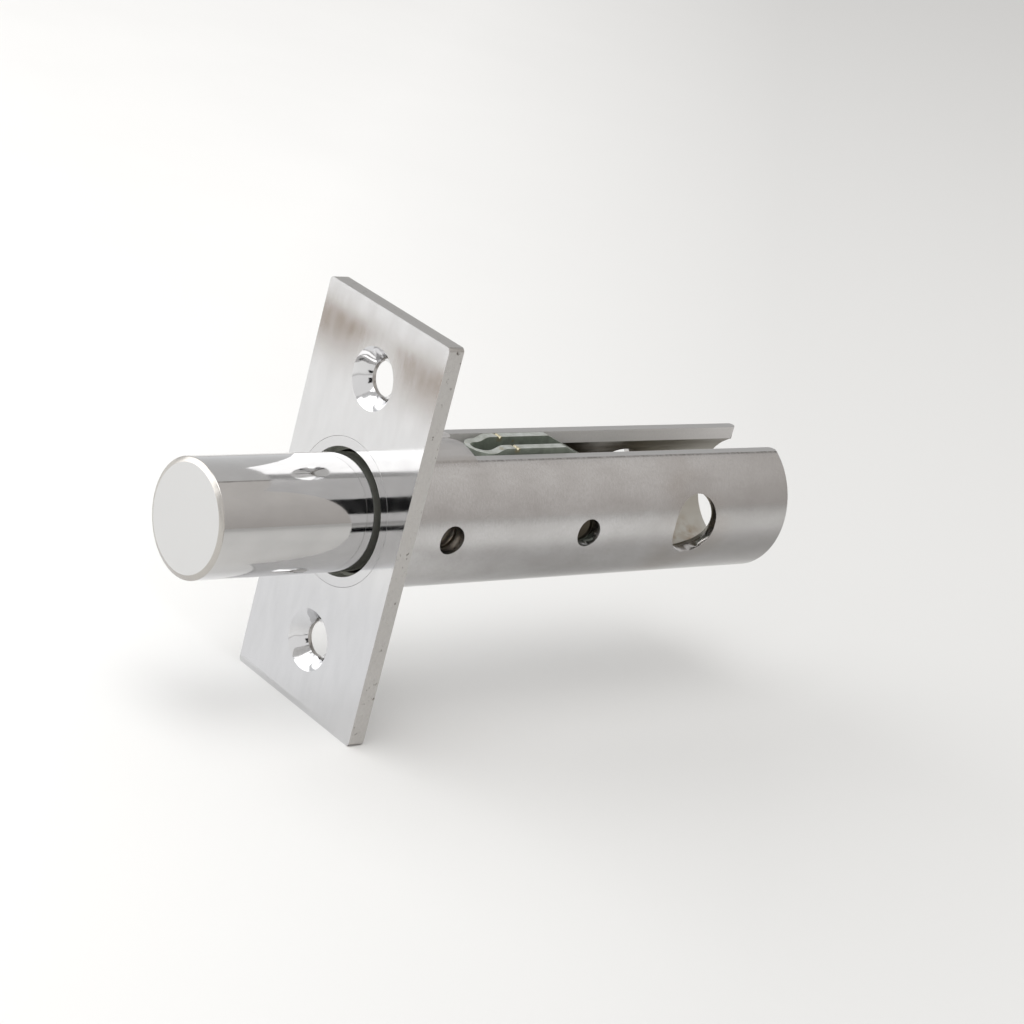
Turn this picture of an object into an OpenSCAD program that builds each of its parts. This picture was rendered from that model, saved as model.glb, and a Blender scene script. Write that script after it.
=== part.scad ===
// Mortice door bolt with a rolled case, moved by a fluted key that turns against a rack.
// X runs along the bolt: the nose points to -X and the case's open tail to +X.
// Z runs along the long side of the faceplate, Y across the thickness of the door.
// The origin lies on the bolt's axis, in the back face of the faceplate, which seats on the door.
// Depths in the customizer are measured from the faceplate's front face. Millimetres.

/* [Faceplate] */
// Height of the plate, along the door's edge
plate_height = 57; // [52:0.5:70]
// Width of the plate, across the door's edge
plate_width = 26.3; // [24:0.1:32]
// Thickness of the plate
plate_thickness = 2.5; // [2:0.1:4]
// Radius of the plate's four corners
plate_corner_r = 0.6; // [0.3:0.1:3]
// Distance between the two fixing screws
screw_spacing = 38; // [35:0.5:42]
// Diameter of a fixing screw's hole
screw_hole_d = 4.8; // [4:0.1:5.5]
// Diameter of the countersink at the plate's face
countersink_d = 8.6; // [7:0.1:10]

/* [Bolt] */
// Diameter of the bolt
bolt_d = 16; // [15:0.1:18]
// How far the thrown bolt stands out of the plate, which is also its throw
bolt_projection = 24.8; // [21:0.1:26]
// How far the chamfer round the bolt's nose narrows its face, on the radius
nose_chamfer = 0.75; // [0.3:0.05:1.2]
// Length of the nose's chamfer along the bolt
nose_chamfer_length = 0.3; // [0.2:0.05:1]
// Chamfer round the bolt's tail
bolt_tail_chamfer = 0.45; // [0.2:0.05:1]
// Radial running clearance between the bolt and the case
bolt_clearance = 0.3; // [0.1:0.05:0.5]

/* [Case] */
// Thickness of the sheet that the case is rolled from
case_wall = 2.3; // [1.8:0.1:2.6]
// Depth from the plate's face to the case's open tail
case_length = 75.6; // [68:0.1:90]
// Chamfer round the case's tail
tail_chamfer = 0.25; // [0.1:0.05:0.6]
// Corner radius of the lips at the tail
tail_corner_r = 0.9; // [0.4:0.1:1.6]
// How far the bolt's tail reaches behind the two lobes that close the case's front
tail_lap = 10.15; // [9:0.05:12]
// Corner radius of a lobe, where it meets the seam
lobe_corner_r = 2; // [1:0.1:3.5]
// Width of the seam between the lobes
seam_gap = 0.2; // [0.1:0.05:0.6]
// Width of the slot behind the lobes
slot_width = 7.6; // [6.4:0.1:9]
// Width of the flat land pressed along each lip of the slot
lip_land = 1.45; // [0.8:0.05:1.8]
// How far the lobes' seam lies below the case's full circle
seam_drop = 0.3; // [0.1:0.05:0.5]
// Step from the case's outside down to the neck that is set into the plate
neck_step = 0.5; // [0.2:0.05:0.8]
// Gap that shows as a thin circle between the neck and the plate
neck_gap = 0.04; // [0.02:0.01:0.1]
// Depth of the seat in the plate's back that takes the case's shoulder
seat_depth = 0.4; // [0.2:0.1:0.8]
// How much wider the case's mouth is than its bore, on the radius
mouth_relief = 0.45; // [0.2:0.05:0.8]
// Depth of the wider mouth
mouth_depth = 2; // [1:0.1:3]

/* [Keyhole] */
// Width of the keyhole, along the bolt
keyhole_w = 8; // [7.6:0.1:9]
// How much taller than wide the keyhole came out when the punched sheet was rolled
keyhole_stretch = 1; // [0.2:0.1:1.4]
// Backset: depth from the plate's face to the key's axis
key_backset = 56.8; // [56:0.1:62]
// Height of the key's axis above the bolt's axis
key_height = 0.3; // [0:0.1:1]
// Thickness left at the keyhole's tail side, where its inner edge is undercut for the key
keyhole_skin = 1.1; // [0.8:0.1:1.6]
// How far the undercut reaches behind the keyhole
keyhole_undercut = 1.3; // [0.6:0.1:2]
// Number of teeth on the fluted key
key_teeth = 6; // [5:1:7]
// Number of rack teeth that pass the key in one throw
teeth_per_throw = 7; // [6:1:8]

/* [Carriage] */
// Thickness of the strip that the carriage is folded from
strip_t = 1.3; // [1:0.1:1.6]
// Width over the carriage's two legs
carriage_width = 5.4; // [4.6:0.1:6]
// Gap from the lobes to the front of the carriage's bend
carriage_setback = 2.55; // [1.5:0.05:3]
// Thickness of the strip at the front of the fold, where folding thinned it
fold_t = 0.8; // [0.6:0.05:1.2]
// How far the ears' tops stay inside the case's outer circle
ear_inset = 0.6; // [0.3:0.05:1]
// How far the rim round the bend lies below the ears' tops
rim_drop = 0.7; // [0.3:0.05:1.5]
// Length over which the rim rises to the ears' tops
ear_rise = 2.2; // [1.6:0.1:4]
// Distance from the front of the bend to the end of the ears' flat tops
ear_length = 15.7; // [13:0.1:19]
// Angle at which the ears slope down to the rack
ear_slope = 22.5; // [18:0.5:35]
// Depth of the carriage's front block below the bolt's axis
block_depth = 4; // [3:0.1:5]
// Height of the rack's back above the roots of its teeth
rack_back = 1.45; // [1.2:0.05:2]
// Height of a rack tooth above the pitch line
tooth_addendum = 0.8; // [0.6:0.05:0.9]
// Depth of a rack tooth below the pitch line
tooth_dedendum = 0.85; // [0.7:0.05:1]
// Clearance between the carriage and the bolt's slot on each side
carriage_clearance = 0.1; // [0.05:0.05:0.2]
// Diameter of the pin through the bolt and the carriage
pin_d = 3; // [2:0.1:3.4]

/* [Detent] */
// Distance from the detent holes of the thrown bolt back to the lobes' end
detent_setback = 5.75; // [5:0.05:7]
// Diameter of the detent holes in the case
detent_hole_d = 4.1; // [3.6:0.1:4.4]
// Diameter of a detent ball
ball_d = 5; // [4.8:0.1:5.6]
// Radial running clearance of a ball in its bore
ball_clearance = 0.06; // [0.03:0.01:0.1]
// Gap from a pressed-in ball to the case's wall
ball_gap = 0.25; // [0.2:0.05:0.3]
// Outer diameter of the detent spring
spring_d = 4.4; // [3.6:0.1:4.6]
// Diameter of the spring's wire
spring_wire_d = 0.6; // [0.4:0.05:0.7]
// Number of turns of the spring
spring_turns = 5.5; // [4:0.5:6]

/* [Hidden] */
$fn = 96;

// Cutting tools reach this far past the face they open.
cut = 1;
// A pressed pin and its hole differ by this much on the radius.
press_gap = 0.02;
// Room left between the key and the withdrawn bolt.
key_room = 0.8;

// The plate's front face, from which the depths above are measured.
front = -plate_thickness;

bolt_r = bolt_d / 2;
throw = bolt_projection;
bolt_nose = front - bolt_projection;
bore_r = bolt_r + bolt_clearance;
case_r = bore_r + case_wall;
case_tail = front + case_length;
neck_r = case_r - neck_step;
// The lips are pressed flat at this height, out to this half width.
lip_w = slot_width / 2 + lip_land;
lip_z = sqrt(pow(case_r, 2) - pow(lip_w, 2));
// The lobes are pressed to a flatter arc through the seam and the outer edges of the lips' lands.
seam_z = case_r - seam_drop;
lobe_r = (pow(lip_w, 2) + pow(seam_z - lip_z, 2)) / (2 * (seam_z - lip_z));
// Cuts in the top wall of the case start at this height, inside its bore.
top_cut_z = bore_r / 2;

key_x = front + key_backset;
keyhole_r = keyhole_w / 2;
bolt_tail = key_x - keyhole_r - throw - key_room;
lobe_x = bolt_tail - tail_lap;
detent_x = lobe_x - detent_setback;

carriage_front = lobe_x + carriage_setback;
bend_r = carriage_width / 2;
bend_x = carriage_front + bend_r;
ear_top = sqrt(pow(case_r, 2) - pow(bend_r, 2)) - ear_inset;
rim_top = ear_top - rim_drop;
ear_end = carriage_front + ear_length;
rack_pitch = throw / teeth_per_throw;
pitch_line = key_height + rack_pitch * key_teeth / (2 * PI);
tooth_tip = pitch_line - tooth_addendum;
tooth_root = pitch_line + tooth_dedendum;
rack_top = tooth_root + rack_back;
rack_end = key_x + rack_pitch;
slope_end = ear_end + (ear_top - rack_top) / tan(ear_slope);
// The front block ends just inside the bolt's slot, and a short ramp rises from it to the rack.
block_end = bolt_tail - 0.6;
ramp_length = 1.8;
// Half widths of the space between two rack teeth, at the teeth's tips and roots.
space_tip = rack_pitch * 0.34;
space_root = rack_pitch * 0.17;
rack_corner = 1.2;
// The small nick in each ear's top edge, where two strokes of the press tool met.
nick_x = carriage_front + 6.7;
nick_w = 0.5;
nick_depth = 0.35;

pin_x = (bend_x + bolt_tail) / 2;
pin_r = pin_d / 2;
bolt_slot_w = carriage_width + 2 * carriage_clearance;
bolt_slot_floor = -block_depth - carriage_clearance;
bolt_slot_x = carriage_front - 2 * carriage_clearance;

ball_r = ball_d / 2;
ball_bore_r = ball_r + ball_clearance;
ball_y = bore_r - ball_gap - ball_r;
spring_r = (spring_d - spring_wire_d) / 2;
// The last turn of the wire lies against the ball: its centre line ends here.
spring_seat_gap = 0.05;
spring_end = ball_y - sqrt(pow(ball_r + spring_wire_d / 2 + spring_seat_gap, 2) - pow(spring_r, 2));
spring_rings = 12;
spring_sides = 6;
echo(gap_between_spring_turns = 2 * spring_end / spring_turns - spring_wire_d);

// A cylinder along the bolt's axis, from x0 to x1.
module along_x(r, x0, x1) {
    translate([x0, 0, 0]) rotate([0, 90, 0]) cylinder(r = r, h = x1 - x0);
}

// A cylinder across the case, centred on the middle plane.
module across_y(r, x, z, length) {
    translate([x, 0, z]) rotate([90, 0, 0]) cylinder(r = r, h = length, center = true);
}

// A box that cuts the top wall of the case open, from x0 to x1 and half_w to each side.
module top_cut(x0, x1, half_w, z0) {
    translate([x0, -half_w, z0]) cube([x1 - x0, 2 * half_w, case_r + cut - z0]);
}

module screw_hole(z) {
    sink = (countersink_d - screw_hole_d) / 2;
    translate([0, 0, z]) {
        along_x(screw_hole_d / 2, front - cut, cut);
        translate([front, 0, 0]) rotate([0, 90, 0])
            cylinder(r1 = countersink_d / 2, r2 = screw_hole_d / 2, h = sink);
    }
}

module plate_outline() {
    square([plate_height - 2 * plate_corner_r, plate_width], center = true);
    square([plate_height, plate_width - 2 * plate_corner_r], center = true);
    for (sx = [-1, 1], sy = [-1, 1])
        translate([sx * (plate_height / 2 - plate_corner_r), sy * (plate_width / 2 - plate_corner_r)])
            circle(r = plate_corner_r);
}

module faceplate() {
    color([0.82, 0.82, 0.83])
    difference() {
        translate([front, 0, 0]) rotate([0, 90, 0]) linear_extrude(plate_thickness) plate_outline();
        along_x(neck_r + neck_gap, front - cut, cut);
        along_x(case_r + neck_gap, -seat_depth, cut);
        for (side = [-1, 1]) screw_hole(side * screw_spacing / 2);
    }
}

// Seen from above: what is cut away where the rounded corners of the two lobes meet at the seam.
module lobe_corners() {
    translate([lobe_x - lobe_corner_r, 0])
    difference() {
        translate([0, -lobe_corner_r]) square([lobe_corner_r + cut, 2 * lobe_corner_r]);
        for (side = [-1, 1]) translate([0, side * lobe_corner_r]) circle(r = lobe_corner_r);
    }
}

// Seen from above: what is cut away at the lips' rounded corners at the tail.
module tail_corners() {
    for (side = [-1, 1]) mirror([0, side > 0 ? 0 : 1]) translate([case_tail - tail_corner_r, slot_width / 2])
        difference() {
            translate([0, -cut]) square(tail_corner_r + cut);
            translate([0, tail_corner_r]) circle(r = tail_corner_r);
        }
}

// The case's outside: neck, lobes under their flatter arc, and the long body with its chamfered tail.
module case_outside() {
    intersection() {
        along_x(case_r, -seat_depth, lobe_x);
        translate([0, 0, seam_z - lobe_r]) along_x(lobe_r, -cut, lobe_x + cut);
    }
    along_x(neck_r, front, cut);
    along_x(case_r, lobe_x, case_tail - tail_chamfer);
    translate([case_tail - tail_chamfer, 0, 0]) rotate([0, 90, 0])
        cylinder(r1 = case_r, r2 = case_r - tail_chamfer, h = tail_chamfer);
}

// The keyhole runs through both walls: a short upright slot with round ends.
module keyhole() {
    length = 2 * case_r + cut;
    half = keyhole_stretch / 2;
    for (side = [-1, 1]) across_y(keyhole_r, key_x, key_height + side * half, length);
    translate([key_x - keyhole_r, -length / 2, key_height - half])
        cube([2 * keyhole_r, length, 2 * half]);
}

// Room for the key behind the keyhole's tail side: it stops short of the case's outside.
module key_undercut() {
    intersection() {
        across_y(keyhole_r, key_x + keyhole_undercut, key_height, 2 * case_r);
        along_x(case_r - keyhole_skin, key_x - keyhole_r, key_x + 2 * keyhole_r);
    }
}

module case_tube() {
    tail = case_tail + cut;
    color([0.68, 0.66, 0.63])
    difference() {
        case_outside();
        along_x(bore_r, front - cut, tail);
        along_x(bore_r + mouth_relief, front - cut, front + mouth_depth);
        top_cut(-seat_depth, lobe_x, seam_gap / 2, top_cut_z);
        top_cut(lobe_x, tail, slot_width / 2, top_cut_z);
        top_cut(lobe_x, tail, lip_w + cut, lip_z);
        translate([0, 0, top_cut_z]) linear_extrude(case_r) {
            lobe_corners();
            tail_corners();
        }
        for (x = [detent_x, detent_x + throw]) across_y(detent_hole_d / 2, x, 0, 2 * case_r + cut);
        keyhole();
        key_undercut();
    }
}

module bolt_rod() {
    profile = [[0, bolt_nose], [bolt_r - nose_chamfer, bolt_nose], [bolt_r, bolt_nose + nose_chamfer_length],
               [bolt_r, bolt_tail - bolt_tail_chamfer], [bolt_r - bolt_tail_chamfer, bolt_tail],
               [0, bolt_tail]];
    color([0.86, 0.87, 0.89])
    difference() {
        rotate([0, 90, 0]) rotate_extrude() polygon(profile);
        translate([bolt_slot_x, -bolt_slot_w / 2, bolt_slot_floor])
            cube([bolt_tail - bolt_slot_x + cut, bolt_slot_w, bolt_r - bolt_slot_floor + cut]);
        across_y(pin_r + press_gap, pin_x, 0, bolt_d + cut);
        across_y(ball_bore_r, detent_x, 0, bolt_d + cut);
    }
}

// The rim's rise from the bend up to the ears' tops, a smooth step worked out by a formula.
function rise(t) = [bend_x + t * ear_rise, rim_top + rim_drop * (3 * t * t - 2 * t * t * t)];

// Side view of one leg: ear, rack strip and front block, before the rack's spaces are cut.
module leg_outline() {
    polygon(concat(
        [for (i = [0 : 8]) rise(i / 8)],
        [[ear_end, ear_top], [slope_end, rack_top],
         [rack_end - rack_corner, rack_top], [rack_end, rack_top - rack_corner],
         [rack_end, tooth_tip], [block_end + ramp_length, tooth_tip],
         [block_end, -block_depth], [bend_x, -block_depth]]));
}

// The space between two rack teeth, centred on x = 0.
module rack_space() {
    polygon([[-space_tip, tooth_tip - cut], [-space_tip, tooth_tip], [-space_root, tooth_root],
             [space_root, tooth_root], [space_tip, tooth_tip], [space_tip, tooth_tip - cut]]);
}

module leg() {
    linear_extrude(strip_t)
    difference() {
        leg_outline();
        for (i = [0 : teeth_per_throw]) translate([key_x - i * rack_pitch, 0]) rack_space();
        polygon([[nick_x - nick_w / 2, ear_top + cut], [nick_x + nick_w / 2, ear_top + cut],
                 [nick_x + nick_w / 2, ear_top], [nick_x, ear_top - nick_depth], [nick_x - nick_w / 2, ear_top]]);
        translate([pin_x, 0]) circle(r = pin_r + press_gap);
    }
}

// The bend that joins the two legs at the front, half a ring seen from above, thinner at its front.
module bend() {
    height = rim_top + block_depth;
    inner_r = bend_r - strip_t;
    thinned = strip_t - fold_t;
    translate([bend_x, 0, -block_depth])
    difference() {
        cylinder(r = bend_r, h = height);
        translate([-thinned, 0, -cut]) cylinder(r = inner_r, h = height + 2 * cut);
        translate([-thinned, -inner_r, -cut]) cube([thinned + cut, 2 * inner_r, height + 2 * cut]);
        translate([0, -bend_r - cut, -cut]) cube([bend_r + cut, 2 * (bend_r + cut), height + 2 * cut]);
    }
}

module rack_carriage() {
    color([0.76, 0.78, 0.74])
    union() {
        for (y = [-bend_r + strip_t, bend_r]) translate([0, y, 0]) rotate([90, 0, 0]) leg();
        bend();
    }
}

module carriage_pin() {
    // The pin's ends stay just inside the bolt's round surface.
    length = 2 * (sqrt(pow(bolt_r, 2) - pow(pin_r, 2)) - press_gap);
    color([0.62, 0.62, 0.62]) across_y(pin_r, pin_x, 0, length);
}

module detent_ball(side) {
    color([0.75, 0.76, 0.78]) translate([detent_x, side * ball_y, 0]) sphere(r = ball_r);
}

// A point of the spring's surface: ring i along the helix, corner k of the wire's section.
function spring_point(i, k) =
    let (turn = i / spring_rings,
         a = 360 * turn,
         b = 360 * k / spring_sides,
         r = spring_r + spring_wire_d / 2 * cos(b),
         y = -spring_end + 2 * spring_end * turn / spring_turns + spring_wire_d / 2 * sin(b))
    [r * cos(a), y, r * sin(a)];

module detent_spring() {
    rings = spring_turns * spring_rings;
    n = spring_sides;
    points = [for (i = [0 : rings], k = [0 : n - 1]) spring_point(i, k)];
    walls = [for (i = [0 : rings - 1], k = [0 : n - 1])
        let (a = i * n + k, b = i * n + (k + 1) % n)
        each [[a, a + n, b + n], [a, b + n, b]]];
    // Each end cap is a fan of triangles from its first corner.
    first_cap = [for (k = [1 : n - 2]) [0, k, k + 1]];
    last_cap = [for (k = [1 : n - 2]) [rings * n, rings * n + k + 1, rings * n + k]];
    color([0.55, 0.56, 0.58]) translate([detent_x, 0, 0])
        polyhedron(points = points, faces = concat(walls, first_cap, last_cap));
}

faceplate();
case_tube();
bolt_rod();
rack_carriage();
carriage_pin();
detent_ball(-1);  // detent_ball_near
detent_ball(1);  // detent_ball_far
detent_spring();
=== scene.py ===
# %% [markdown]
# # A mortice door bolt in chrome and satin nickel
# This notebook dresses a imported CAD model: a round bolt that slides out of a rolled case behind
# a small faceplate. The CAD gives every shape and every place. What is added here is what a
# drawing can't hold: finishes, broken edges, light and a camera. The frame is loaded first,
# because all that follows is placed by it. Blender works in metres, but a bolt is read in
# millimetres, so lengths are written in mm and multiplied by MM where Blender takes them.

# %% Load the frame
import math
import bpy
import numpy as np
from mathutils import Matrix, Vector


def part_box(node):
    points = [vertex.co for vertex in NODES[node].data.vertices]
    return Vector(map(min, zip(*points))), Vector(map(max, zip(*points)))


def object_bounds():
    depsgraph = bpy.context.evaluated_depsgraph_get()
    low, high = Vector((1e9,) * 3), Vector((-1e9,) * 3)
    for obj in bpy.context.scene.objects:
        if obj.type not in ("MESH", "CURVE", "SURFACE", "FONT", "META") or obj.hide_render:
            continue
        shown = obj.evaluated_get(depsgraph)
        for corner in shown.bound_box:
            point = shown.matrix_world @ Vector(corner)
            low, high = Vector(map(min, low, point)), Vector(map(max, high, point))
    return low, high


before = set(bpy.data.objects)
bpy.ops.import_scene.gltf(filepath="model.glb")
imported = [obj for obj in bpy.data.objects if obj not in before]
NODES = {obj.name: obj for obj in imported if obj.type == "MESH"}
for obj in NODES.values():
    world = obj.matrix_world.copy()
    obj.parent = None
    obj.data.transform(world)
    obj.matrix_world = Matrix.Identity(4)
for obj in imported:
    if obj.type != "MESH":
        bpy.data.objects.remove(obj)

CAD_BOX = [list(corner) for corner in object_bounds()]
MM = 0.001
print("pieces:", sorted(NODES))
print("CAD box in mm:", [[round(v / MM, 2) for v in corner] for corner in CAD_BOX])

# %% [markdown]
# ## The camera
# The photograph was taken from in front of the nose, a little above, with the camera turned
# about 15 degrees. The view could be set by eye, but a bolt is all circles and straight edges,
# so the camera was worked out from them: the place, the turn and the lens below bring the
# model's edges onto the photograph's edges. The turn is a rotation vector: its direction is the
# axis, its length the angle, and Rodrigues' formula makes a matrix of it.

# %% Camera
EYE = Vector((-238.4647, -272.7625, 131.9921)) * MM
TURN = Vector((1.905858, -0.497517, 0.693949))
FOCAL_PX = 2885.62
IMAGE_PX = 1024
SENSOR = 36.0

to_camera = Matrix.Rotation(TURN.length, 3, TURN.normalized())
right, down, ahead = (Vector(row) for row in to_camera)
cam_data = bpy.data.cameras.new("camera")
cam_data.sensor_width = SENSOR
cam_data.lens = FOCAL_PX / IMAGE_PX * SENSOR
cam_data.clip_start = 0.01
cam_data.clip_end = 20
camera = bpy.data.objects.new("camera", cam_data)
bpy.context.scene.collection.objects.link(camera)
axes_in_world = Matrix((right, -down, -ahead)).transposed().to_4x4()
camera.matrix_world = Matrix.Translation(EYE) @ axes_in_world
bpy.context.scene.camera = camera
print("lens in mm:", round(cam_data.lens, 2), "looking along", tuple(round(v, 3) for v in ahead))

# %% [markdown]
# ## Small tools
# A colour is written as the hex value that a picture editor shows, and turned to the linear
# value that light adds up in. One function adds a shader node with its settings and its links,
# so each material below reads from top to bottom like a recipe.

# %% Colour and nodes
def linear(code):
    """sRGB hex to linear RGBA: c / 12.92 below 0.04045, else ((c + 0.055) / 1.055) ** 2.4."""
    c = np.array([int(code[i:i + 2], 16) for i in (1, 3, 5)]) / 255
    rgb = np.where(c <= 0.04045, c / 12.92, ((c + 0.055) / 1.055) ** 2.4)
    return (*rgb.tolist(), 1.0)


def add(tree, kind, inputs=None, **settings):
    """Adds a node. settings are its own properties, inputs maps a socket to a value or a link."""
    made = tree.nodes.new(kind)
    for name, value in settings.items():
        setattr(made, name, value)
    for name, value in (inputs or {}).items():
        if isinstance(value, bpy.types.NodeSocket):
            tree.links.new(value, made.inputs[name])
        else:
            made.inputs[name].default_value = value
    return made


def material(name):
    """A new material with an empty tree; gives the material, its tree and its coordinates."""
    made = bpy.data.materials.new(name)
    made.use_nodes = True
    made.node_tree.nodes.clear()
    coords = add(made.node_tree, "ShaderNodeTexCoord")
    return made, made.node_tree, coords


def finish_metal(tree, colour, roughness, normal, metallic=1.0):
    """Ends a metal's recipe: a Principled surface on the output."""
    skin = add(tree, "ShaderNodeBsdfPrincipled", {
        "Base Color": colour, "Roughness": roughness, "Metallic": metallic, "Normal": normal})
    add(tree, "ShaderNodeOutputMaterial", {"Surface": skin.outputs["BSDF"]})


def dress(name, metal):
    """Gives a CAD node its one material."""
    slots = NODES[name].data.materials
    slots.clear()
    slots.append(metal)
    print("dressed", name, "in", metal.name)


print("mid grey #808080 is", round(linear("#808080")[0], 3), "in linear light")

# %% [markdown]
# ## Patterns and masks
# No finish is the same all over. Noise varies it from place to place, and a mask says where it
# holds: 1 there, 0 elsewhere and a soft edge between. A mask could be painted on an unwrapped
# mesh, but these follow from a place or from the surface's own direction, so they are as sharp
# as they are asked to be and need no image.

# %% Patterns and masks
NOISE_SPAN = (0.3, 0.7)


def noise(tree, coords, size_mm, stretch=(1, 1, 1), detail=3.0, rough=0.55):
    """Noise whose detail is size_mm across; stretch makes it longer along an axis. It runs from
    0 to 1 but keeps mostly to NOISE_SPAN."""
    scale = tuple(1 / (size_mm * s * MM) for s in stretch)
    place = add(tree, "ShaderNodeMapping", {"Vector": coords.outputs["Object"], "Scale": scale})
    made = add(tree, "ShaderNodeTexNoise", {
        "Vector": place.outputs["Vector"], "Scale": 1.0, "Detail": detail, "Roughness": rough})
    return made.outputs[0]


def between(tree, value, low, high, to_low=0.0, to_high=1.0, smooth=False):
    """Maps value from low..high to to_low..to_high and holds it there outside."""
    kind = "SMOOTHSTEP" if smooth else "LINEAR"
    return add(tree, "ShaderNodeMapRange", {
        "Value": value, "From Min": low, "From Max": high, "To Min": to_low, "To Max": to_high},
        interpolation_type=kind).outputs["Result"]


def zone(tree, place, off_on_mm, most=1.0, smooth=False):
    """A mask along a coordinate, from a pair of places: 0 at the first, most at the second."""
    off, on = off_on_mm
    return between(tree, place, off * MM, on * MM, 0.0, most, smooth)


print("noise 0.3 mm across has a scale of", round(1 / (0.3 * MM)), "per metre")

# %% [markdown]
# ## Mixing
# A material is built in layers, as on the real piece: a base, and over it one finish after
# another, each let through by its mask. One node mixes numbers, directions and colours, but it
# keeps sockets of its own for each kind of data.

# %% Mixing
MIX_SOCKETS = {"FLOAT": (2, 3, 0), "VECTOR": (4, 5, 1), "RGBA": (6, 7, 2)}


def mix(tree, amount, first, second, kind="FLOAT"):
    """Goes from first to second as amount goes from 0 to 1; each may be a value or a link."""
    a, b, result = MIX_SOCKETS[kind]
    made = add(tree, "ShaderNodeMix", {0: amount, a: first, b: second}, data_type=kind)
    return made.outputs[result]


def blend(tree, amount, first, second):
    """The same for two colours; each may be a hex code, a linear colour or a link."""
    first, second = (linear(c) if isinstance(c, str) else c for c in (first, second))
    return mix(tree, amount, first, second, "RGBA")


print("the Mix node's sockets for first, second and result:", MIX_SOCKETS)

# %% [markdown]
# ## Sums on masks
# Masks are numbers, so they can be put together by sums: the product of some masks holds where
# all of them do, and 1 minus a mask holds where it doesn't. Places are taken apart into x, y and
# z, so that a mask can be drawn along one of them or along a distance.

# %% Sums on masks
def maths(tree, kind, first, second=0.0):
    """One sum on one or two values."""
    return add(tree, "ShaderNodeMath", {0: first, 1: second}, operation=kind).outputs[0]


def all_of(tree, first, *others):
    """The product of masks, and of the share that they are to have at most."""
    for other in others:
        first = maths(tree, "MULTIPLY", first, other)
    return first


def all_but(tree, mask):
    """1 where the mask is 0, and the other way round."""
    return maths(tree, "SUBTRACT", 1.0, mask)


def apart(tree, place, middle_mm=0.0):
    """How far place lies from middle_mm, on either side."""
    return maths(tree, "ABSOLUTE", maths(tree, "SUBTRACT", place, middle_mm * MM))


def axes(tree, vector):
    """The x, y and z of a vector."""
    split = add(tree, "ShaderNodeSeparateXYZ", {0: vector})
    return [split.outputs[i] for i in range(3)]


def arrow(tree, x, y, z=0.0):
    """The vector (x, y, z)."""
    return add(tree, "ShaderNodeCombineXYZ", {"X": x, "Y": y, "Z": z}).outputs[0]


def length_of(tree, vector):
    """The square root of x * x + y * y + z * z."""
    return add(tree, "ShaderNodeVectorMath", {0: vector}, operation="LENGTH").outputs["Value"]


print("sums on masks:", ", ".join(f.__name__ for f in (maths, all_of, all_but, apart)))

# %% [markdown]
# ## Direction of the surface
# Polished metal shows the smallest error in the surface's direction. A bump raises what is too
# fine to model. The round pieces need the opposite: their meshes are long flat strips whose own
# direction wobbles, and the CAD's meshes stay as they are, so on the round itself the direction
# is worked out from the axis.

# %% Bumps and true rounds
FACING_ROUND = (0.93, 0.97)
ROUND_DEPTH = (0.12, 0.06)
ROUND_END = 0.05


def bump(tree, height, distance_mm, onto=None):
    """Raises the surface by height times distance_mm, on top of the direction onto."""
    inputs = {"Height": height, "Distance": distance_mm * MM, "Strength": 1.0}
    if onto is not None:
        inputs["Normal"] = onto
    return add(tree, "ShaderNodeBump", inputs).outputs["Normal"]


def true_round(tree, coords, radius_mm, ends_mm):
    """The exact direction of a round about the X axis, (0, y, z) / r. It holds between the two
    ends, close under the radius, where the flat strip faces nearly the same way. FACING_ROUND is
    the cosine of the angle between them, ROUND_DEPTH the depth in mm, ROUND_END a soft end."""
    start, end = ends_mm
    near_radius = [radius_mm - depth for depth in ROUND_DEPTH]
    x, y, z = axes(tree, coords.outputs["Object"])
    arm = arrow(tree, 0.0, y, z)
    out = add(tree, "ShaderNodeVectorMath", {0: arm}, operation="NORMALIZE").outputs["Vector"]
    flat = add(tree, "ShaderNodeNewGeometry").outputs["True Normal"]
    facing = add(tree, "ShaderNodeVectorMath", {0: flat, 1: out}, operation="DOT_PRODUCT")
    on_round = all_of(tree,
                      between(tree, facing.outputs["Value"], *FACING_ROUND),
                      zone(tree, length_of(tree, arm), near_radius),
                      zone(tree, x, (start - ROUND_END, start)),
                      zone(tree, x, (end + ROUND_END, end)))
    world_out = add(tree, "ShaderNodeVectorTransform", {0: out}, vector_type="NORMAL",
                    convert_from="OBJECT", convert_to="WORLD").outputs[0]
    own = add(tree, "ShaderNodeNewGeometry").outputs["Normal"]
    mixed = mix(tree, on_round, own, world_out, "VECTOR")
    return add(tree, "ShaderNodeVectorMath", {0: mixed}, operation="NORMALIZE").outputs["Vector"]


widest = math.degrees(math.acos(FACING_ROUND[1]))
print("a strip counts as round where it faces within", round(widest), "degrees of the exact way")

# %% [markdown]
# ## Chrome on the bolt
# The bolt is steel bar, turned, polished and chrome plated. Chrome is a clear bluish white metal
# that mirrors the room, so its colour stays plain and nearly all of its look comes from what
# stands round it. What keeps it from a perfect mirror is the polish: haze a few millimetres
# long, faint lines along the bar and marks too fine to see, which soften a reflection.

# %% Bolt chrome
BOLT_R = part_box("bolt_rod")[1].z / MM
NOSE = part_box("bolt_rod")[0].x / MM
BOLT_ROUND_X = (NOSE + 0.45, 24.2)
CHAMFER_X = (NOSE + 0.4, NOSE + 0.34)
NOSE_FACING, CHAMFER_FACING = (-0.985, -0.995), (-0.985, -0.96)


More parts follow.
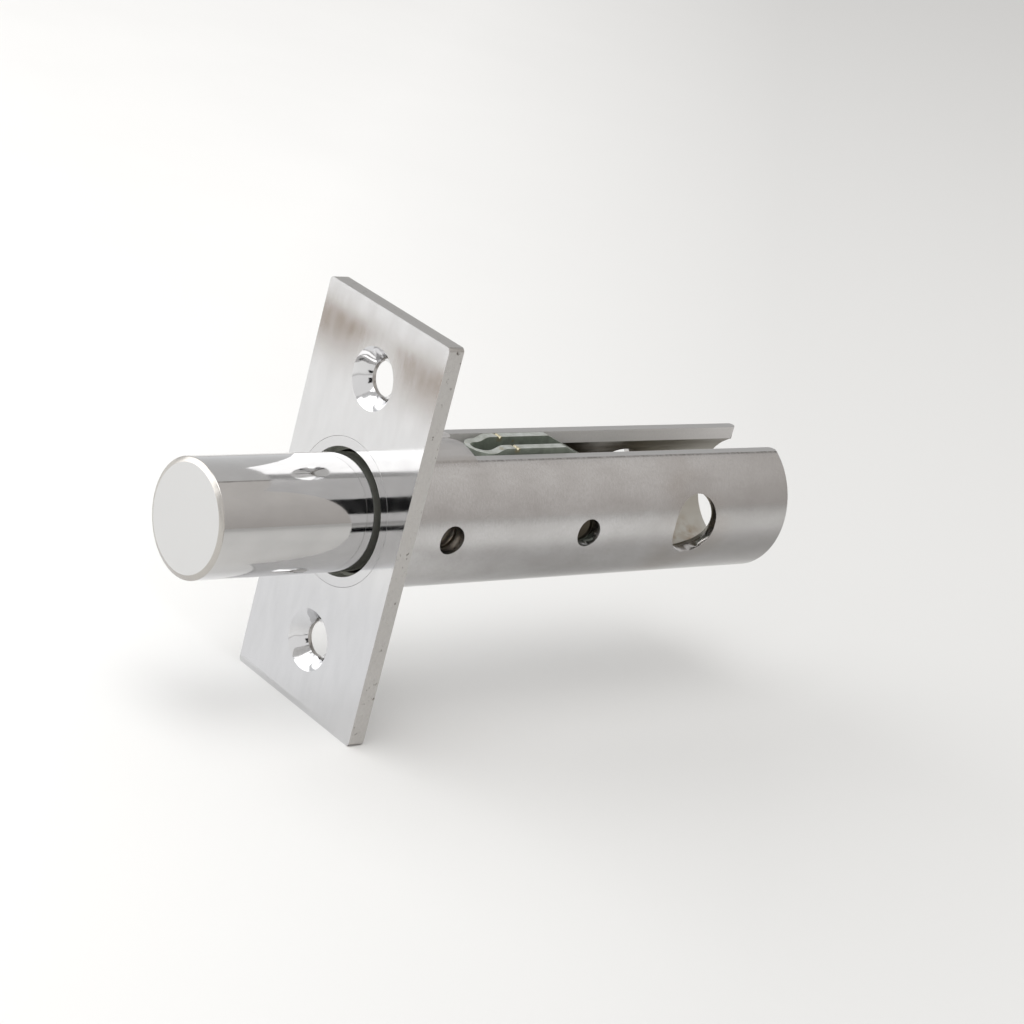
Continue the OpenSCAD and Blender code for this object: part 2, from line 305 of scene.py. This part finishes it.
def bolt_chrome():
    """Bright chrome: a cleaner nose, a duller chamfer with painted shade, faint lines on the bar.
    """
    metal, tree, coords = material("polished_chrome_bolt")
    haze = noise(tree, coords, 3.0, (1.6, 1, 1))
    marks = noise(tree, coords, 0.3)
    drawn = noise(tree, coords, 0.35, (9, 1, 1), 2.0)
    x = axes(tree, coords.outputs["Object"])[0]
    facing = axes(tree, coords.outputs["Normal"])[0]
    colour = blend(tree, between(tree, haze, 0.35, 0.7), "#CBCAC9", "#C5C4C3")
    rough = between(tree, haze, *NOISE_SPAN, 0.05, 0.09)
    # The nose was faced and polished last and is the cleanest part.
    colour = blend(tree, between(tree, facing, *NOSE_FACING), colour, "#D2D2D2")
    # The chamfer round it was only turned, so it is duller and a little creamy. Its colour is also
    # darkened with painted shade, which tones down the lamp's highlight there.
    turned_chamfer_and_shade = all_of(tree, zone(tree, x, CHAMFER_X), between(tree, facing, *CHAMFER_FACING))
    colour = blend(tree, all_of(tree, turned_chamfer_and_shade, 0.7), colour, "#ACA7A0")
    rough = mix(tree, turned_chamfer_and_shade, rough, 0.26)
    # The bar was drawn through a die first: its lines fray the edges of a reflection.
    normal = true_round(tree, coords, BOLT_R, BOLT_ROUND_X)
    normal = bump(tree, drawn, 0.0025, normal)
    normal = bump(tree, marks, 0.0005, normal)
    finish_metal(tree, colour, rough, normal)
    return metal


dress("bolt_rod", bolt_chrome())

# %% [markdown]
# ## Chrome on the faceplate
# The plate is cut from steel strip. Its faces were brushed along the plate before plating, which
# leaves fine lines along Z. Its edges were sheared, so they are duller, greyer and pitted. One
# material does both: the surface's own direction tells a face from an edge.

# %% Plate chrome
EDGE_FACING, END_FACING = (0.55, 0.2), (0.6, 0.9)


def plate_chrome():
    """Brushed chrome on the faces, sheared and pitted metal on the edges."""
    metal, tree, coords = material("brushed_chrome_plate")
    facing, _, endways = axes(tree, coords.outputs["Normal"])
    edge = between(tree, apart(tree, facing), *EDGE_FACING)
    lines = noise(tree, coords, 0.16, (1, 1, 60), 2.0)
    haze = noise(tree, coords, 2.5, (1, 1, 3))
    grit = noise(tree, coords, 0.35, (1, 1, 1.6), 4.0, 0.7)
    pits = between(tree, noise(tree, coords, 0.8, (1, 1, 1.4)), 0.66, 0.74)
    face = blend(tree, between(tree, haze, *NOISE_SPAN), "#D6D6D7", "#D0D0D1")
    sheared = blend(tree, grit, "#B3B0AD", "#CFCDCA")
    sheared = blend(tree, pits, sheared, "#6F6A64")
    # The two short ends were cropped with a blunter tool: darker than the long edges.
    cropped = between(tree, apart(tree, endways), *END_FACING, 0.0, 0.45)
    sheared = blend(tree, cropped, sheared, "#7E7973")
    shine = between(tree, haze, *NOISE_SPAN, 0.07, 0.12)
    dull = between(tree, grit, *NOISE_SPAN, 0.26, 0.38)
    height = mix(tree, edge, lines, grit)
    depth_mm = between(tree, edge, 0, 1, 0.0015, 0.02)
    normal = bump(tree, all_of(tree, height, depth_mm), 1.0)
    finish_metal(tree, blend(tree, edge, face, sheared), mix(tree, edge, shine, dull), normal)
    return metal


dress("faceplate", plate_chrome())

# %% [markdown]
# ## Satin nickel on the case
# The case is steel sheet, punched flat, rolled round a mandrel and nickel plated. Nickel is
# warmer than chrome, and the rolled sheet keeps a satin skin that blurs what it mirrors to soft
# bands. The tools left brownish drag marks near the keyhole, and the land that was pressed flat
# on each lip has a row of small dents along its outer edge. Painted shade darkens that edge's
# crease to a dotted line and greys the land and the two front lobes.
# The zones below say where each of these holds: a mask is 0 at the first place, 1 at the second.
# FACING is a part of the surface's direction along one axis, from 0 to 1.

# %% Zones of the case
CASE_R = -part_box("case_tube")[0].z / MM
CASE_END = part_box("case_tube")[1].x / MM
CASE_ROUND_X = (0.3, CASE_END - 0.5)
TAIL_X = (38, 74)
KEYHOLE_X, KEYHOLE_REACH = 54.5, (9.5, 4)
DENT_SHADE_Y, DENT_SHADE_WIDTH, DENT_SHADE_Z = 5.3, (0.3, 0.1), (8.6, 8.8)
LAND_Z, LAND_FACING = (9, 9.1), (0.97, 0.99)
LOBES_X, LOBES_Z = (14.7, 14.4), (8.6, 9.2)
NECK_X = (-2.38, -2.42)
SLOT_Y, SLOT_Z, SLOT_FACING = (4.5, 4.2), (7.1, 7.4), (0.9, 0.97)
print("case radius", round(CASE_R, 2), "mm, its tail at x =", round(CASE_END, 2), "mm")

# %% [markdown]
# ## Film in the bore
# Inside, the sheet kept a thin olive film of oil on poor plating. It is paler in the mouth and a
# little rusty past the keyhole, and painted light makes the floor behind the bolt lighter, where
# light comes in through the open tail. So the film's colour has layers of its own.

# %% Film in the bore
BORE_R = (8.9, 8.7)
MOUTH_X = (-0.3, -0.6)
LIT_FLOOR_X, LIT_FLOOR_Z = (55, 60), (6, 3)
RUST_X, RUST_END_X, RUST_Z = (60, 65), (72.5, 69), (-5.5, -7.4)


def bore_film(tree, coords, x, z, mouth, cloud):
    """The colour of the film, from its base to the rust."""
    film = blend(tree, cloud, "#777063", "#5E584B")
    film = blend(tree, mouth, film, "#A8ABA2")
    # Painted light: the floor behind the bolt is lighter, where light comes in through the open
    # tail.
    painted_light_floor = all_of(tree, zone(tree, x, LIT_FLOOR_X), zone(tree, z, LIT_FLOOR_Z))
    film = blend(tree, painted_light_floor, film, "#C4C1B9")
    spots = between(tree, noise(tree, coords, 2.5, (1, 1, 1), 4.0), 0.38, 0.6)
    rust = all_of(tree, zone(tree, x, RUST_X), zone(tree, x, RUST_END_X), zone(tree, z, RUST_Z),
                  spots, 0.6)
    return blend(tree, rust, film, "#8F6E3E")


print("film inside a radius of", BORE_R[0], "mm, rust past x =", RUST_X[0], "mm")

# %% [markdown]
# ## The whole case
# The layers lie one over another in the order in which the piece was made, with painted shade
# and light among them: the rolled skin, the marks of tools and press with the painted shade on
# the lips and lobes, the sheared slot, the oiled bore with its painted light. Oil and the grey
# skin of a sheared edge take away the metal's mirror, so both are less metallic where they are
# thickest.

# %% Case nickel
def case_nickel():
    """Satin nickel with its tool marks and painted shade on the lips and lobes, chrome at the
    neck's end, dull slot walls, an oily bore with painted light near the tail.
    """
    metal, tree, coords = material("satin_nickel_case")
    x, y, z = axes(tree, coords.outputs["Object"])
    _, across, upright = axes(tree, coords.outputs["Normal"])
    aside = apart(tree, y)
    grain = noise(tree, coords, 0.3, (0.6, 1.6, 1.6), 4.0, 0.65)
    cloud = noise(tree, coords, 5.0, (1.6, 1, 1), 4.0, 0.6)
    patch = noise(tree, coords, 9.0, (1.2, 1, 1), 2.0)
    specks = noise(tree, coords, 0.5, (0.6, 1, 1), 4.0, 0.7)
    # The rolled skin, darker towards the tail.
    colour = blend(tree, between(tree, cloud, 0.35, 0.68), "#D8D7D7", "#C9C7C6")
    colour = blend(tree, between(tree, grain, 0.36, 0.72, 0.0, 0.38), colour, "#AFACA9")
    colour = blend(tree, zone(tree, x, TAIL_X, 0.55), colour, "#B2B0AE")
    rough = between(tree, grain, 0.25, 0.75, 0.17, 0.26)
    normal = bump(tree, cloud, 0.006, true_round(tree, coords, CASE_R, CASE_ROUND_X))
    normal = bump(tree, grain, 0.0022, normal)
    # Brownish tints where the tools dragged near the keyhole.
    near_key = zone(tree, apart(tree, x, KEYHOLE_X), KEYHOLE_REACH, smooth=True)
    dragged = all_of(tree, near_key, between(tree, patch, 0.42, 0.62), 0.2)
    colour = blend(tree, dragged, colour, "#9A8A76")
    # A dark dotted line along the crease at the outer edge of each lip's land: painted shade where
    # the land meets the round, dotted where the land is dented.
    beside = zone(tree, apart(tree, aside, DENT_SHADE_Y), DENT_SHADE_WIDTH)
    dents_and_crease_shade = all_of(tree, beside, zone(tree, z, DENT_SHADE_Z), between(tree, specks, 0.3, 0.62), 0.75)
    colour = blend(tree, dents_and_crease_shade, colour, "#5A544E")
    # Painted shade greys the land and the lobes, a little warmer on the lobes, and both are
    # rougher.
    # The neck's end was polished together with the plate, so it is chrome bright.
    land = all_of(tree, between(tree, upright, *LAND_FACING), zone(tree, z, LAND_Z))
    lobes = all_of(tree, zone(tree, x, LOBES_X), zone(tree, z, LOBES_Z))
    neck = zone(tree, x, NECK_X)
    for mask, share, tone, mask_rough in (
            (land, 1.0, blend(tree, grain, "#B3B1AF", "#A5A3A1"), 0.36),
            (lobes, 0.7, "#B4AFAB", 0.32),
            (neck, 1.0, "#D0D0D1", 0.09)):
        colour = blend(tree, all_of(tree, mask, share), colour, tone)
        rough = mix(tree, mask, rough, mask_rough)
    # The slot's walls were sheared, then plated: dull, but not oily. They face straight across.
    sheared = all_of(tree, between(tree, apart(tree, across), *SLOT_FACING),
                     zone(tree, z, SLOT_Z), zone(tree, aside, SLOT_Y))
    colour = blend(tree, sheared, colour, blend(tree, grain, "#DEDCDB", "#C8C6C4"))
    # The bore: all that lies inside its radius but the neck's end and the slot's walls.
    reach = length_of(tree, arrow(tree, 0.0, y, z))
    inside = all_of(tree, zone(tree, reach, BORE_R), all_but(tree, neck), all_but(tree, sheared))
    mouth = zone(tree, x, MOUTH_X)
    colour = blend(tree, inside, colour, bore_film(tree, coords, x, z, mouth, cloud))
    rough = mix(tree, inside, rough, 0.42)
    rough = mix(tree, sheared, rough, 0.4)
    dimmed = maths(tree, "MAXIMUM", sheared, all_of(tree, inside, mouth))
    finish_metal(tree, colour, rough, normal, all_but(tree, all_of(tree, dimmed, 0.75)))
    return metal


dress("case_tube", case_nickel())

# %% [markdown]
# ## Zinc on the carriage
# The folded carriage is zinc plated strip: a dull bluish white that turns greenish where the
# passivation pooled, and brass yellow in a few spots. Painted light makes what faces up paler
# than the flanks.

# %% Zinc
NICK_X, NICK_WIDTH, NICK_Z = 23.8, (0.6, 0.3), (8.8, 9.2)
UP_FACING = (0.3, 0.8)


def zinc_strip():
    """Dull zinc with painted light that makes what faces up paler, and brass-yellow spots."""
    metal, tree, coords = material("zinc_plated_strip")
    mottle = noise(tree, coords, 1.2, (1, 1, 1), 4.0, 0.6)
    grain = noise(tree, coords, 0.25, (3, 1, 1))
    x, _, z = axes(tree, coords.outputs["Object"])
    upward = between(tree, axes(tree, coords.outputs["Normal"])[2], *UP_FACING)
    pooled = between(tree, mottle, 0.35, 0.65)
    # Painted light: faces that point up are paler than the flanks.
    shaded_flank = blend(tree, pooled, "#A3ABA0", "#8F978D")
    lit_top = blend(tree, pooled, "#C4C7C2", "#A4A79E")
    colour = blend(tree, upward, shaded_flank, lit_top)
    # Yellow passivation gathered in the nicks of the ears' tops, and in a few other spots.
    nick = all_of(tree, zone(tree, apart(tree, x, NICK_X), NICK_WIDTH), zone(tree, z, NICK_Z))
    spots = between(tree, noise(tree, coords, 1.6, (1, 1, 1), 2.0), 0.66, 0.74)
    yellow = maths(tree, "MAXIMUM", spots, nick)
    colour = blend(tree, all_of(tree, yellow, 0.5), colour, "#A3905C")
    rough = between(tree, grain, *NOISE_SPAN, 0.28, 0.42)
    metallic = between(tree, upward, 0, 1, 0.6, 0.9)
    finish_metal(tree, colour, rough, bump(tree, grain, 0.006), metallic)
    return metal


dress("rack_carriage", zinc_strip())

# %% [markdown]
# ## Plain steel inside
# The pin and the spring are plain steel and the balls are bearing steel, yellowed by old oil.
# They hardly show, but they carry their own finish for anyone who slides the bolt out.

# %% Plain steel
def plain_steel(name, tone, smoothest, roughest, mark_mm):
    """Steel in a tone that greys in its marks, with the roughness between the two values."""
    metal, tree, coords = material(name)
    marks = noise(tree, coords, mark_mm, (1, 3, 1))
    colour = blend(tree, between(tree, marks, *NOISE_SPAN), tone, "#8C8B89")
    rough = between(tree, marks, *NOISE_SPAN, smoothest, roughest)
    finish_metal(tree, colour, rough, bump(tree, marks, 0.002))
    return metal


wire = plain_steel("drawn_steel_wire", "#A8A7A5", 0.22, 0.36, 0.3)
bearing = plain_steel("bearing_steel_ball", "#DECFB8", 0.36, 0.5, 0.6)
for name, metal in (("carriage_pin", wire), ("detent_spring", wire),
                    ("detent_ball_near", bearing), ("detent_ball_far", bearing)):
    dress(name, metal)

# %% [markdown]
# ## Broken edges
# No real edge is a knife edge: the polishing wheel and the tumbling drum round each by a tenth of
# a millimetre or so, and that thin band catches the light. The CAD meshes are loose triangles, so
# a Weld joins them first and a Bevel then rounds what is sharper than 35 degrees.

# %% Edge rounding
WELD_MM = 0.002
SHARPEST = math.radians(35)
EDGE_MM = {"faceplate": 0.12, "case_tube": 0.15, "bolt_rod": 0.1, "rack_carriage": 0.12}


def round_edges(name, width_mm):
    """Welds a piece's triangles and bevels its sharp edges by width_mm."""
    piece = NODES[name]
    join = piece.modifiers.new("join", "WELD")
    join.merge_threshold = WELD_MM * MM
    edge = piece.modifiers.new("edge", "BEVEL")
    edge.width = width_mm * MM
    edge.segments = 2
    edge.limit_method = "ANGLE"
    edge.angle_limit = SHARPEST
    edge.harden_normals = True
    edge.use_clamp_overlap = True
    print("rounded", name, "by", width_mm, "mm")


for name, width in EDGE_MM.items():
    round_edges(name, width)

# %% [markdown]
# ## Floor and surroundings
# Mirror-like metal shows the room more than itself, so the room is part of the picture. The
# photograph was made on a white table in a plain, slightly warm room: the metal shows the table
# up to its horizon and the room above. The floor is a round sheet whose height is a function of
# two numbers, radius and angle; it is flat near the object and rises a little far out.

# %% Floor
FLOOR_Z = CAD_BOX[0][2]
SHADE_AWAY_FROM_WINDOW = (-60, 90)


def floor_surface(rings=48, spokes=96, flat_to=0.9, reach=2.4, rise=0.11, crowding=1.6):
    """x = r cos a, y = r sin a, z = floor + rise * s * s * (3 - 2 s), with s from 0 at flat_to
    to 1 at reach, in metres. r runs over rings, which crowd towards the middle, and a over
    spokes; a vertex closes the middle."""
    r = reach * (np.arange(1, rings + 1) / rings) ** crowding
    a = np.linspace(0, 2 * math.pi, spokes, endpoint=False)
    rr, aa = np.meshgrid(r, a, indexing="ij")
    s = np.clip((rr - flat_to) / (reach - flat_to), 0, 1)
    zz = FLOOR_Z + rise * s * s * (3 - 2 * s)
    points = np.stack([rr * np.cos(aa), rr * np.sin(aa), zz], -1).reshape(-1, 3)
    points = np.vstack([points, [0, 0, FLOOR_Z]])
    i, j = np.meshgrid(np.arange(rings - 1), np.arange(spokes), indexing="ij")
    k = (j + 1) % spokes
    corners = [i * spokes + j, (i + 1) * spokes + j, (i + 1) * spokes + k, i * spokes + k]
    quads = np.stack(corners, -1)
    j = np.arange(spokes)
    fan = np.stack([np.full(spokes, rings * spokes), j, (j + 1) % spokes], -1)
    return points, quads.reshape(-1, 4).tolist() + fan.tolist()


def mesh_object(name, points, faces, skin):
    """A smooth shaded object from points in metres and faces, in one material."""
    mesh = bpy.data.meshes.new(name)
    mesh.from_pydata(points.tolist(), [], faces)
    mesh.polygons.foreach_set("use_smooth", np.ones(len(faces), bool))
    mesh.materials.append(skin)
    made = bpy.data.objects.new(name, mesh)
    bpy.context.scene.collection.objects.link(made)
    return made


def table_paint():
    """Matte white, with painted shade that greys it towards +X and -Y, away from the window."""
    paint, tree, coords = material("matte_white_table")
    mottle = noise(tree, coords, 60.0, (1, 1, 1), 2.0)
    x, y, _ = axes(tree, coords.outputs["Object"])
    white = blend(tree, mottle, "#EFEFEE", "#EAEAE9")
    # Painted shade: greyer away from the window.
    away = zone(tree, maths(tree, "SUBTRACT", x, y), SHADE_AWAY_FROM_WINDOW)
    finish_metal(tree, blend(tree, away, white, "#DADAD9"), 0.9, bump(tree, mottle, 0.01), 0.0)
    return paint


floor = mesh_object("floor", *floor_surface(), table_paint())
print("floor at z", round(FLOOR_Z / MM, 2), "mm,", len(floor.data.polygons), "faces")

# %% [markdown]
# ## Dark cards
# Two dark blocks stand in the bolt's and the plate's reflections: the camera and whoever held it,
# seen first in the bolt and then in the plate. Retouching them into the finish would fix them to
# the metal, so they would be wrong from every other side. They are cards instead, placed where
# the mirrored lines of sight lead. A card shows in reflections only: it isn't seen directly and
# throws no shadow.

# %% Dark cards
LEVEL = FLOOR_Z / MM + 1


def flat_card(name, middle_mm, across_mm, upward_mm, skin):
    """A card: middle + s * across + t * upward, for s and t from -1 to 1, seen in mirrors only."""
    s, t = np.array([(-1, -1), (1, -1), (1, 1), (-1, 1)]).T
    points = np.array(middle_mm) + np.outer(s, across_mm) + np.outer(t, upward_mm)
    made = mesh_object(name, points * MM, [[0, 1, 2, 3]], skin)
    made.visible_camera = made.visible_diffuse = made.visible_shadow = False
    print(name, "at", [round(v) for v in middle_mm], "mm")


def dark_cloth():
    """Nearly black cloth with a faint weave."""
    cloth, tree, coords = material("dark_cloth")
    weave = noise(tree, coords, 8.0, (1, 1, 1), 2.0)
    skin = add(tree, "ShaderNodeBsdfDiffuse", {"Color": blend(tree, weave, "#020305", "#05070A")})
    add(tree, "ShaderNodeOutputMaterial", {"Surface": skin.outputs[0]})
    return cloth


cloth = dark_cloth()
flat_card("camera_card", (-310, -316, 211), (-34, 23, -15), (2, 55, 83), cloth)
flat_card("table_edge_card", (-142, -185, LEVEL), (17, -14, 0), (-62, -79, 0), cloth)

# %% [markdown]
# ## The brown card
# A brownish shape shows in the plate round its upper screw hole. Its card lies just above the
# table, where the plate's upper end mirrors it. The shape is written as it shows in the plate and
# carried to the card along the mirrored lines of sight. It fades out, so its material ends in a
# mix with a clear one.

# %% Brown card
PLATE_FRONT, PLATE_FOOT, UPPER_HOLE = -2.5, -28.5, 19.0
AHEAD_PER_FALL, ASIDE_PER_FALL = 2.155, 2.48
HALO_SOFT, TOP_SOFT, FULL_BELOW_TOP = 0.8, 0.5, 2


def see_through(tree, amount, skin):
    """Ends a card's recipe: skin where amount is 1, clear where it is 0."""
    clear = add(tree, "ShaderNodeBsdfTransparent")
    mixed = add(tree, "ShaderNodeMixShader", {0: amount, 1: clear.outputs[0], 2: skin.outputs[0]})
    add(tree, "ShaderNodeOutputMaterial", {"Surface": mixed.outputs[0]})


def brown_arch(top_mm, foot_mm, halo_mm):
    """Brown that fades downwards and leaves a halo round the upper screw hole when it is seen in
    the plate. The mirrored line of sight runs along (-0.625, 0.72, -0.29), so a point x, y of the
    card shows at the height h = -(x + 2.5) / 2.155 above the plate's foot, and at y - 2.48 h
    across it."""
    paint, tree, coords = material("brown_card")
    x, y, _ = axes(tree, coords.outputs["Object"])
    before = maths(tree, "SUBTRACT", x, PLATE_FRONT * MM)
    height = maths(tree, "MULTIPLY", before, -1 / AHEAD_PER_FALL)
    aside = maths(tree, "SUBTRACT", y, maths(tree, "MULTIPLY", height, ASIDE_PER_FALL))
    above = maths(tree, "SUBTRACT", height, (UPPER_HOLE - PLATE_FOOT) * MM)
    from_hole = length_of(tree, arrow(tree, aside, above))
    halo = zone(tree, from_hole, (halo_mm - HALO_SOFT, halo_mm + HALO_SOFT))
    below_top = zone(tree, height, (top_mm + TOP_SOFT, top_mm - TOP_SOFT))
    above_foot = zone(tree, height, (foot_mm, top_mm - FULL_BELOW_TOP))
    streaks = between(tree, noise(tree, coords, 16.0), 0.3, 0.6, 0.85, 1.0)
    amount = all_of(tree, below_top, above_foot, halo, streaks)
    see_through(tree, amount, add(tree, "ShaderNodeBsdfDiffuse", {"Color": linear("#8B7865")}))
    return paint


flat_card("brown_card", (-108, 128, LEVEL), (26, 0, 0), (0, 44, 0), brown_arch(54.2, 42.0, 6.0))

# %% [markdown]
# ## Shade and glow on the table
# The case's underside mirrors its own shadow, which is darker in the photograph because the
# object lies on the table there. The plate's foot mirrors the bright spot that the plate throws
# on the table. A grey card and a white one stand for the two.

# %% Shade and glow cards
SHADE_Y, SHADE_REACH, SHADE_X = -18, (45, 0), (12, 50)
GLOW_X, GLOW_Y, GLOW_REACH = -14, 22, (36, 14)


def shade_strip():
    """The grey of the case's own shadow on the table, strongest 18 mm in front of the axis."""
    paint, tree, coords = material("shade_card")
    x, y, _ = axes(tree, coords.outputs["Object"])
    amount = all_of(tree, zone(tree, apart(tree, y, SHADE_Y), SHADE_REACH, smooth=True),
                    zone(tree, x, SHADE_X, 0.4, smooth=True))
    grey = blend(tree, noise(tree, coords, 30.0, (1, 1, 1), 2.0), "#45423F", "#3A3836")
    see_through(tree, amount, add(tree, "ShaderNodeBsdfDiffuse", {"Color": grey}))
    return paint


def bounce_card():
    """White, lit, with soft edges: the light that the plate throws down in front of its foot."""
    paint, tree, coords = material("white_card")
    x, y, _ = axes(tree, coords.outputs["Object"])
    away = length_of(tree, arrow(tree, apart(tree, x, GLOW_X), apart(tree, y, GLOW_Y)))
    mottle = noise(tree, coords, 40.0, (1, 1, 1), 2.0)
    white = blend(tree, mottle, (1, 0.995, 0.99, 1), (0.98, 0.98, 0.985, 1))
    glow = add(tree, "ShaderNodeEmission", {"Color": white, "Strength": 1.0})
    see_through(tree, zone(tree, away, GLOW_REACH, smooth=True), glow)
    return paint


flat_card("shade_card", (105, -18, LEVEL), (95, 0, 0), (0, 46, 0), shade_strip())
flat_card("white_card", (-32, 15, LEVEL - 0.5), (29, 0, 0), (0, 52, 0), bounce_card())

# %% [markdown]
# ## The room
# Above the table stands a plain room. It could be a photographed panorama, but a few smooth steps
# of light are enough and can be read in the code: a warm grey wall with a lighter part behind the
# camera, a brighter far side, and one thin dark seam between them, which the bolt mirrors as a
# line along its top. The camera itself sees an even light grey in place of all that.

# %% World
world = bpy.data.worlds.new("plain_room")
bpy.context.scene.world = world
world.use_nodes = True
tree = world.node_tree
tree.nodes.clear()
sky = add(tree, "ShaderNodeTexCoord")
along, across, up = axes(tree, sky.outputs["Generated"])
# The near wall is lighter higher up and lightest behind the camera, the far side lighter low.
wall = blend(tree, between(tree, up, 0.02, 0.7), (0.50, 0.475, 0.455, 1), (0.68, 0.655, 0.63, 1))
wall = blend(tree, between(tree, along, 0.2, -0.4), wall, (0.97, 0.96, 0.95, 1))
far_side = blend(tree, between(tree, up, 0.75, 0.1), (0.66, 0.655, 0.65, 1), (0.82, 0.83, 0.84, 1))
room = blend(tree, between(tree, across, 0.045, 0.075), wall, far_side)
# The seam lies just before the place where the two meet, and only well above the horizon.
seam = all_of(tree, between(tree, across, 0.02, 0.04), between(tree, across, 0.06, 0.045),
              between(tree, up, 0.3, 0.6))
room = blend(tree, seam, room, (0.2, 0.19, 0.18, 1))
light = add(tree, "ShaderNodeBackground", {"Color": room, "Strength": 1.0})
seen = add(tree, "ShaderNodeBackground", {"Color": (0.8, 0.8, 0.8, 1), "Strength": 1.0})
from_camera = add(tree, "ShaderNodeLightPath").outputs["Is Camera Ray"]
mixed = add(tree, "ShaderNodeMixShader", {0: from_camera, 1: light.outputs[0], 2: seen.outputs[0]})
add(tree, "ShaderNodeOutputWorld", {"Surface": mixed.outputs[0]})
print("room of", len(tree.nodes), "nodes")

# %% [markdown]
# ## The lamps
# The white streak along the bolt and the bright mouth of the plate are a window at the far left,
# from the table's level up to half height. It is an area lamp with the window's own size, because
# metal shows a lamp's shape. A second, weaker soft box overhead opens the shadows.

# %% Lamps
AIM = Vector((20, 0, 0)) * MM


def soft_box(name, place_mm, size_mm, watts):
    """A white, square area lamp at place_mm that points at the bolt's middle."""
    lamp = bpy.data.lights.new(name, "AREA")
    lamp.size = size_mm * MM
    lamp.energy = watts
    made = bpy.data.objects.new(name, lamp)
    bpy.context.scene.collection.objects.link(made)
    made.visible_camera = False
    made.location = Vector(place_mm) * MM
    made.rotation_euler = (AIM - made.location).to_track_quat("-Z", "Y").to_euler()
    print(name, "at", place_mm, "mm,", watts, "W")


soft_box("window", (-540, 560, 380), 900, 4.9)
soft_box("top_box", (-200, -100, 900), 600, 3.0)

# %% [markdown]
# ## How light becomes colour
# A film-like curve would grey the white table and the chrome, so the plain curve is used, and the
# greys of the picture can be compared with those of the photograph one by one.

# %% Colour management
view = bpy.context.scene.view_settings
view.view_transform = "Standard"
view.look = "None"
print("view:", view.view_transform, "look:", view.look)
